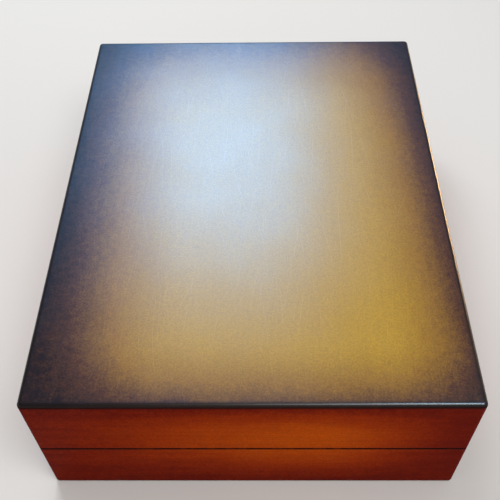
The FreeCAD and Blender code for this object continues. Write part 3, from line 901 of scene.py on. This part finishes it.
@dataclass
class Linings:
    """The felt sheets of the case and of the tray, and the padded lining of the lid.

    The pad's rings are its rounded edge, its margin, the two flanks of the stitched channel and its crown.
    """

    effects: Effects
    sheet_cells: tuple[int, int] = (44, 58)
    sheet_edge: float = 0.0004
    sheet_edge_share: float = 0.4
    sheet_crease: float = math.radians(50)
    wave_size: float = 0.03
    wave_share: float = 0.18
    pad_rim: float = 0.00132
    pad_rings: tuple[PadRing, ...] = (
        PadRing(0.0012, 0.35), PadRing(0.007, 0.22), PadRing(0.0012, -0.3), PadRing(0.0012, 0.3),
        PadRing(0.010, 0.28), PadRing(0.030, 0.15))
    pad_cuts: int = 7
    pad_levels: int = 2

    def build(self) -> None:
        """Make every lining from the space that its solid holds."""
        felt = Felt(self.effects).build("pressed_felt")
        self._sheet("floor_felt", "floor_lining", "base", felt)
        self._sheet("tray_felt", "tray_lining", "tray", felt)
        self._sheet("standing_felt", "bottom_felt", "base", felt)
        self._pad("lid_pad", "lid_lining", felt)

    def _sheet(self, name: str, node: str, body: str, felt: Material) -> None:
        """Lay a sheet of felt with soft cut edges.

        Args:
            name: The sheet's name.
            node: The solid whose space it fills.
            body: The body that it rides on.
            felt: Its finish.
        """
        low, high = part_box(node)
        span = high - low
        columns, rows = self.sheet_cells
        deselect()
        middle = ((low.x + high.x) / 2, (low.y + high.y) / 2, low.z)
        bpy.ops.mesh.primitive_grid_add(
            x_subdivisions=columns, y_subdivisions=rows, size=1.0, location=middle)
        bpy.context.object.scale = (span.x, span.y, 1.0)
        piece = settle(name)
        apply_modifier(piece, "SOLIDIFY", thickness=span.z, offset=1.0)
        edge = min(self.sheet_edge, span.z * self.sheet_edge_share)
        apply_modifier(piece, "BEVEL", width=edge, segments=3, limit_method="ANGLE")
        upper = piece.vertex_groups.new(name="upper")
        upper_level = high.z - span.z * 0.1
        upper_points = [point.index for point in piece.data.vertices if point.co.z > upper_level]
        upper.add(upper_points, 1.0, "REPLACE")
        waves = bpy.data.textures.new(f"{name}_waves", "CLOUDS")
        waves.noise_scale = self.wave_size
        apply_modifier(
            piece, "DISPLACE", texture=waves, texture_coords="LOCAL", direction="Z", mid_level=1.0,
            strength=span.z * self.wave_share, vertex_group="upper")
        piece.vertex_groups.clear()
        deselect()
        piece.select_set(True)
        bpy.ops.object.shade_smooth_by_angle(angle=self.sheet_crease)
        put_in(piece, body, felt, node)

    def _pad(self, name: str, node: str, felt: Material) -> None:
        """Sew the lid's pad: flat against the top panel and crowned below, with a stitched channel round it.

        Args:
            name: The pad's name.
            node: The solid whose space it fills.
            felt: Its finish.
        """
        low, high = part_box(node)
        deselect()
        middle = (0.0, (low.y + high.y) / 2, high.z - self.pad_rim / 2)
        bpy.ops.mesh.primitive_cube_add(size=1.0, location=middle)
        bpy.context.object.scale = (high.x - low.x, high.y - low.y, self.pad_rim)
        piece = settle(name)
        drop = (high.z - low.z) - self.pad_rim
        select_faces(piece, -UP)
        for ring in self.pad_rings:
            bpy.ops.mesh.inset(thickness=ring.inset, depth=0.0)
            bpy.ops.transform.translate(value=(0.0, 0.0, -drop * ring.fall))
        bpy.ops.mesh.select_all(action="SELECT")
        bpy.ops.mesh.subdivide(number_cuts=self.pad_cuts)
        bpy.ops.object.mode_set(mode="OBJECT")
        apply_modifier(piece, "SUBSURF", levels=self.pad_levels, render_levels=self.pad_levels)
        deselect()
        piece.select_set(True)
        bpy.ops.object.shade_smooth()
        put_in(piece, "lid", felt, node)


@dataclass
class CoinTray:
    """The lift-out tray's woodwork and what carries it in the case."""

    effects: Effects
    tray_pale: Colour = paint(186, 128, 74)
    tray_dark: Colour = paint(124, 74, 36)
    stain_pale: Colour = paint(78, 36, 20)
    stain_dark: Colour = paint(42, 18, 10)
    stain_roughness: float = 0.38

    def dress(self) -> None:
        """Finish the tray's boards, the lips and the rests."""
        tray = OiledWood(self.effects, self.tray_pale, self.tray_dark)
        across = tray.build("tray_wood_across", Grain.WIDTH)
        along = tray.build("tray_wood_along", Grain.DEPTH)
        for node in ("tray_front_wall", "tray_back_wall", "tray_handle_divider", "tray_cross_divider"):
            dress(node, across)
        for side in ALONG:
            dress(f"tray_{side}_wall", along)
            dress(f"tray_{side}_divider", along)
        dress("tray_floor", along)
        stained = OiledWood(self.effects, self.stain_pale, self.stain_dark, self.stain_roughness)
        across = stained.build("stained_wood_across", Grain.WIDTH)
        along = stained.build("stained_wood_along", Grain.DEPTH)
        for side in ACROSS:
            dress(f"lip_{side}", across)
        for side in ALONG:
            dress(f"lip_{side}", along)
            dress(f"tray_rest_{side}", along)


@dataclass
class Hinges:
    """The brass butt hinges and their slotted screws."""

    effects: Effects
    screw_radius: float = 0.00085
    screw_facets: int = 28
    screw_crease: float = math.radians(35)
    head_radius: float = 0.00165
    head_height: float = 0.0008
    tip_share: float = 0.25
    tip_length: float = 0.00136
    slot_length: float = 0.00396
    slot_width: float = 0.00045
    slot_depth: float = 0.00035
    first_turn: float = math.radians(25)
    next_turn: float = math.radians(67)
    level_room: float = 1e-5
    front_room: float = 5e-5

    def build(self) -> None:
        """Finish the leaves and pins, and put slotted screws in place of the plain ones."""
        brass = Brass(self.effects).build("drawn_brass")
        for side in ALONG:
            for node in (f"base_hinge_leaf_{side}", f"lid_hinge_leaf_{side}", f"hinge_pin_{side}"):
                dress(node, brass)
        self._screws("base_screws", "base_hinge_screws", "base", False, brass)
        self._screws("lid_screws", "lid_hinge_screws", "lid", True, brass)

    def _screws(self, name: str, node: str, body: str, points_up: bool, brass: Material) -> None:
        """Put one side's screws in their holes.

        Args:
            name: The group's name.
            node: The solid that it stands for.
            body: The body that it rides on.
            points_up: Whether the screws' tips point up.
            brass: Their finish.
        """
        low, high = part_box(node)
        level = low.z if points_up else high.z
        screw = self._screw(high.z - low.z)
        tilt = Matrix.Rotation(math.pi if points_up else 0.0, 4, "X")
        copies = []
        for index, x in enumerate(self._places(node, level, low.y)):
            copy = screw.copy()
            copy.data = screw.data.copy()
            bpy.context.scene.collection.objects.link(copy)
            turn = Matrix.Rotation(self.first_turn + self.next_turn * index, 4, "Z")
            copy.data.transform(Matrix.Translation((x, (low.y + high.y) / 2, level)) @ tilt @ turn)
            copies.append(copy)
        bpy.data.objects.remove(screw)
        deselect()
        for copy in copies:
            copy.select_set(True)
        bpy.context.view_layer.objects.active = copies[0]
        bpy.ops.object.join()
        piece = settle(name)
        bpy.ops.object.shade_smooth_by_angle(angle=self.screw_crease)
        put_in(piece, body, brass, node)

    def _places(self, node: str, level: float, front: float) -> list[float]:
        """Find where the plain screws stand along X, from the foremost points of their heads.

        Args:
            node: The plain screws' solid.
            level: The height of their heads' faces.
            front: The foremost place of their heads along Y.

        Returns:
            The places, from left to right.
        """
        points = [point.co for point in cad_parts[node].data.vertices]
        heads = [point for point in points if abs(point.z - level) < self.level_room]
        return sorted({round(point.x, 4) for point in heads if abs(point.y - front) < self.front_room})

    def _screw(self, length: float) -> Piece:
        """Turn one countersunk screw with its head at the origin and its tip down.

        Args:
            length: Its length.

        Returns:
            The screw.
        """
        deselect()
        shank = length - self.head_height
        bpy.ops.mesh.primitive_cylinder_add(
            vertices=self.screw_facets, radius=self.screw_radius, depth=shank,
            location=(0.0, 0.0, -self.head_height - shank / 2))
        screw = settle("screw")
        select_faces(screw, UP)
        bpy.ops.mesh.extrude_region_move(TRANSFORM_OT_translate={"value": (0.0, 0.0, self.head_height)})
        widen = self.head_radius / self.screw_radius
        bpy.ops.transform.resize(value=(widen, widen, 1.0))
        select_faces(screw, -UP)
        bpy.ops.mesh.extrude_region_move(TRANSFORM_OT_translate={"value": (0.0, 0.0, 0.0)})
        bpy.ops.transform.resize(value=(self.tip_share, self.tip_share, 1.0))
        bpy.ops.object.mode_set(mode="OBJECT")
        bottom = min(point.co.z for point in screw.data.vertices)
        for point in screw.data.vertices:
            if point.co.z < bottom + 1e-6 and point.co.to_2d().length > self.screw_radius * 0.9:
                point.co.z += self.tip_length
        deselect()
        bpy.ops.mesh.primitive_cube_add(size=1.0, location=(0.0, 0.0, 0.0))
        bpy.context.object.scale = (self.slot_length, self.slot_width, self.slot_depth * 2)
        cutter = settle("slot_cutter")
        apply_modifier(screw, "BOOLEAN", operation="DIFFERENCE", object=cutter, solver="EXACT")
        bpy.data.objects.remove(cutter)
        return screw


@dataclass(frozen=True)
class SoftLight:
    """A rectangular soft light: its place, its width and height, its power in watts and what it acts on."""

    name: str
    place: Triple
    size: Pair
    power: float
    colour: Triple
    reach: Reach
    lacquer_only: bool = False

    def hang(self, aim: Triple) -> Piece:
        """Hang the light so that it faces a point.

        Args:
            aim: The point.

        Returns:
            The light.
        """
        data = bpy.data.lights.new(self.name, "AREA")
        data.shape = "RECTANGLE"
        data.size, data.size_y = self.size
        data.energy = self.power
        data.color = self.colour
        lamp = bpy.data.objects.new(self.name, data)
        lamp.location = self.place
        lamp.visible_diffuse, lamp.visible_glossy = self.reach.value
        lamp.rotation_euler = (Vector(aim) - Vector(self.place)).to_track_quat("-Z", "Y").to_euler()
        bpy.context.scene.collection.objects.link(lamp)
        return lamp


@dataclass
class Studio:
    """A pale floor, soft light and the camera."""

    view_from: Triple = (0.00429, -0.30255, 0.39319)
    pitch: float = 50.365
    yaw: float = -1.232
    roll: float = 1.192
    lens: float = 52.31
    floor_radius: float = 9.0
    floor_fade: Pair = (0.45, 1.5)
    floor_colour: Colour = paint(226, 226, 226)
    backdrop: Colour = (0.86, 0.87, 0.88, 1.0)
    dark_overhead: Colour = (0.08, 0.09, 0.10, 1.0)
    overhead_rise: Pair = (0.1, 0.5)
    fill_colour: Colour = (1.0, 0.98, 0.95, 1.0)
    fill_strength: float = 0.36
    aim: Triple = (0.0, 0.0, 0.06)
    lights: tuple[SoftLight, ...] = (
        SoftLight(
            "window", (-0.075, 0.943, 0.98), (0.387, 0.475), 18.2, (0.14, 0.50, 1.0), Reach.GLOSS, True),
        SoftLight("sky", (-0.30, 0.80, 1.05), (0.6, 0.6), 9.5, (0.97, 0.99, 1.0), Reach.SURFACES),
        SoftLight("overhead", (0.26, -0.42, 0.95), (0.5, 0.4), 4.2, (1.0, 0.96, 0.91), Reach.BOTH),
        SoftLight("ceiling", (0.42, -0.15, 1.10), (0.30, 0.24), 11.0, (0.52, 0.78, 1.0), Reach.GLOSS, True),
        SoftLight("glow", (0.70, 0.54, 0.045), (0.24, 0.07), 6.5, (1.0, 0.60, 0.26), Reach.GLOSS, True))

    def build(self) -> None:
        """Set up the whole studio."""
        scene = bpy.context.scene
        scene.view_settings.view_transform = "Standard"
        self._camera(scene)
        self._floor()
        self._world(scene)
        self._hang_lights()

    def _camera(self, scene: bpy.types.Scene) -> None:
        """Stand the camera at the fitted place.

        Args:
            scene: The scene that it shows.
        """
        pitch, yaw, roll = (math.radians(angle) for angle in (self.pitch, self.yaw, self.roll))
        ahead = Vector((math.sin(yaw) * math.cos(pitch), math.cos(yaw) * math.cos(pitch), -math.sin(pitch)))
        right = Vector((math.cos(yaw), -math.sin(yaw), 0.0))
        down = ahead.cross(right)
        across = right * math.cos(roll) + down * math.sin(roll)
        below = down * math.cos(roll) - right * math.sin(roll)
        camera = bpy.data.objects.new("camera", bpy.data.cameras.new("camera"))
        camera.matrix_world = Matrix((across, -below, -ahead)).transposed().to_4x4()
        camera.location = self.view_from
        camera.data.lens = self.lens
        camera.data.clip_start = 0.01
        scene.collection.objects.link(camera)
        scene.camera = camera

    def _floor(self) -> None:
        """Lay a large pale floor that runs out into the backdrop."""
        deselect()
        bpy.ops.mesh.primitive_circle_add(vertices=96, radius=self.floor_radius, fill_type="NGON")
        floor = settle("floor")
        material = bpy.data.materials.new("floor")
        material.use_nodes = True
        graph = Graph(material.node_tree)
        sockets = {"Base Color": self.floor_colour, "Roughness": 0.9, "Specular IOR Level": 0.1}
        shader = graph.add("ShaderNodeBsdfPrincipled", sockets)
        away = graph.add("ShaderNodeVectorMath", {0: graph.place()}, operation="LENGTH").outputs["Value"]
        seen = graph.add("ShaderNodeLightPath").outputs["Is Camera Ray"]
        share = graph.times(graph.step(away, *self.floor_fade), seen)
        glow = graph.add("ShaderNodeEmission", {"Color": self.backdrop})
        both = graph.add("ShaderNodeMixShader", {0: share, 1: shader.outputs[0], 2: glow.outputs[0]})
        end = graph.add("ShaderNodeOutputMaterial")
        graph.feed(end.inputs["Surface"], both.outputs[0])
        floor.data.materials.append(material)
        floor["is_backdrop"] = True

    def _world(self, scene: bpy.types.Scene) -> None:
        """Light the scene softly from all round, behind a pale background that is dark overhead.

        Args:
            scene: The scene that it lights.
        """
        world = bpy.data.worlds.new("studio")
        world.use_nodes = True
        scene.world = world
        graph = Graph(world.node_tree)
        ray = graph.add("ShaderNodeLightPath").outputs
        seen = graph.plus(ray["Is Camera Ray"], ray["Is Glossy Ray"])
        seen = graph.maths("ADD", seen, ray["Is Transmission Ray"], clamp=True)
        rise = graph.axes(graph.add("ShaderNodeTexCoord").outputs["Generated"])[2]
        wall = graph.mix(graph.step(rise, *self.overhead_rise), self.backdrop, self.dark_overhead)
        sockets = {"Color": self.fill_colour, "Strength": self.fill_strength}
        fill = graph.add("ShaderNodeBackground", sockets)
        backdrop = graph.add("ShaderNodeBackground", {"Color": wall, "Strength": 1.0})
        both = graph.add("ShaderNodeMixShader", {0: seen, 1: fill.outputs[0], 2: backdrop.outputs[0]})
        end = graph.add("ShaderNodeOutputWorld")
        graph.feed(end.inputs["Surface"], both.outputs[0])

    def _hang_lights(self) -> None:
        """Hang the lights, those of strong colour for the lacquer alone, as they would tint brass."""
        lacquered = bpy.data.collections.new("lacquered")
        for node in LACQUERED:
            lacquered.objects.link(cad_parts[node])
        for light in self.lights:
            lamp = light.hang(self.aim)
            if light.lacquer_only:
                lamp.light_linking.receiver_collection = lacquered


def main() -> None:
    """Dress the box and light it."""
    logging.basicConfig(level=logging.INFO, format="%(name)s: %(message)s")
    low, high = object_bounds()
    effects = Effects(low, high)
    Case(effects).dress()
    Linings(effects).build()
    CoinTray(effects).dress()
    Hinges(effects).build()
    Studio().build()


if __name__ == "__main__":
    main()
